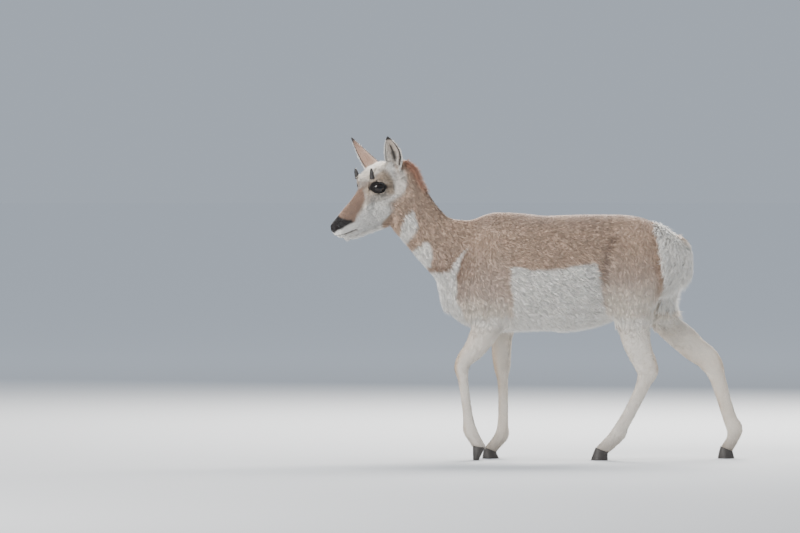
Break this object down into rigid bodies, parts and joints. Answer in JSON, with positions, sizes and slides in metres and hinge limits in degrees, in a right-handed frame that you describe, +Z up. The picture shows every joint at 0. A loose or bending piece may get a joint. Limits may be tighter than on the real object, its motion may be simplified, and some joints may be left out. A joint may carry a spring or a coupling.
{
  "type": "pronghorn",
  "caption": "Life-size still model of a young female pronghorn walking, tan and white coat, small black horn buds, head turned slightly to its left",
  "frame": {"origin": "on the floor, under the middle of the animal's bounding box", "axes": "+Z up, the animal faces -X, its left side faces -Y"},
  "size_m": [1.3231, 0.2817, 1.0355],
  "materials": {
    "coat": "short dense hair, sandy brown above, white below, on the rump, jaw and throat bands",
    "eye": "wet, glossy, almost black",
    "horn": "black keratin, slightly rough",
    "hoof": "black keratin with fine growth rings"
  },
  "bodies": {
    "root": {"trunk": "coat", "neck": "coat", "head": "coat", "tail": "coat", "ear_left": "coat", "ear_right": "coat", "eye_left": "eye", "eye_right": "eye", "horn_left": "horn", "horn_right": "horn", "foreleg_left_upper": "coat", "foreleg_left_lower": "coat", "foreleg_right_upper": "coat", "foreleg_right_lower": "coat", "hindleg_left_upper": "coat", "hindleg_left_lower": "coat", "hindleg_right_upper": "coat", "hindleg_right_lower": "coat", "hoof_fore_left_toe_left": "hoof", "hoof_fore_left_toe_right": "hoof", "hoof_fore_right_toe_left": "hoof", "hoof_fore_right_toe_right": "hoof", "hoof_hind_left_toe_left": "hoof", "hoof_hind_left_toe_right": "hoof", "hoof_hind_right_toe_left": "hoof", "hoof_hind_right_toe_right": "hoof"}
  },
  "joints": []
}
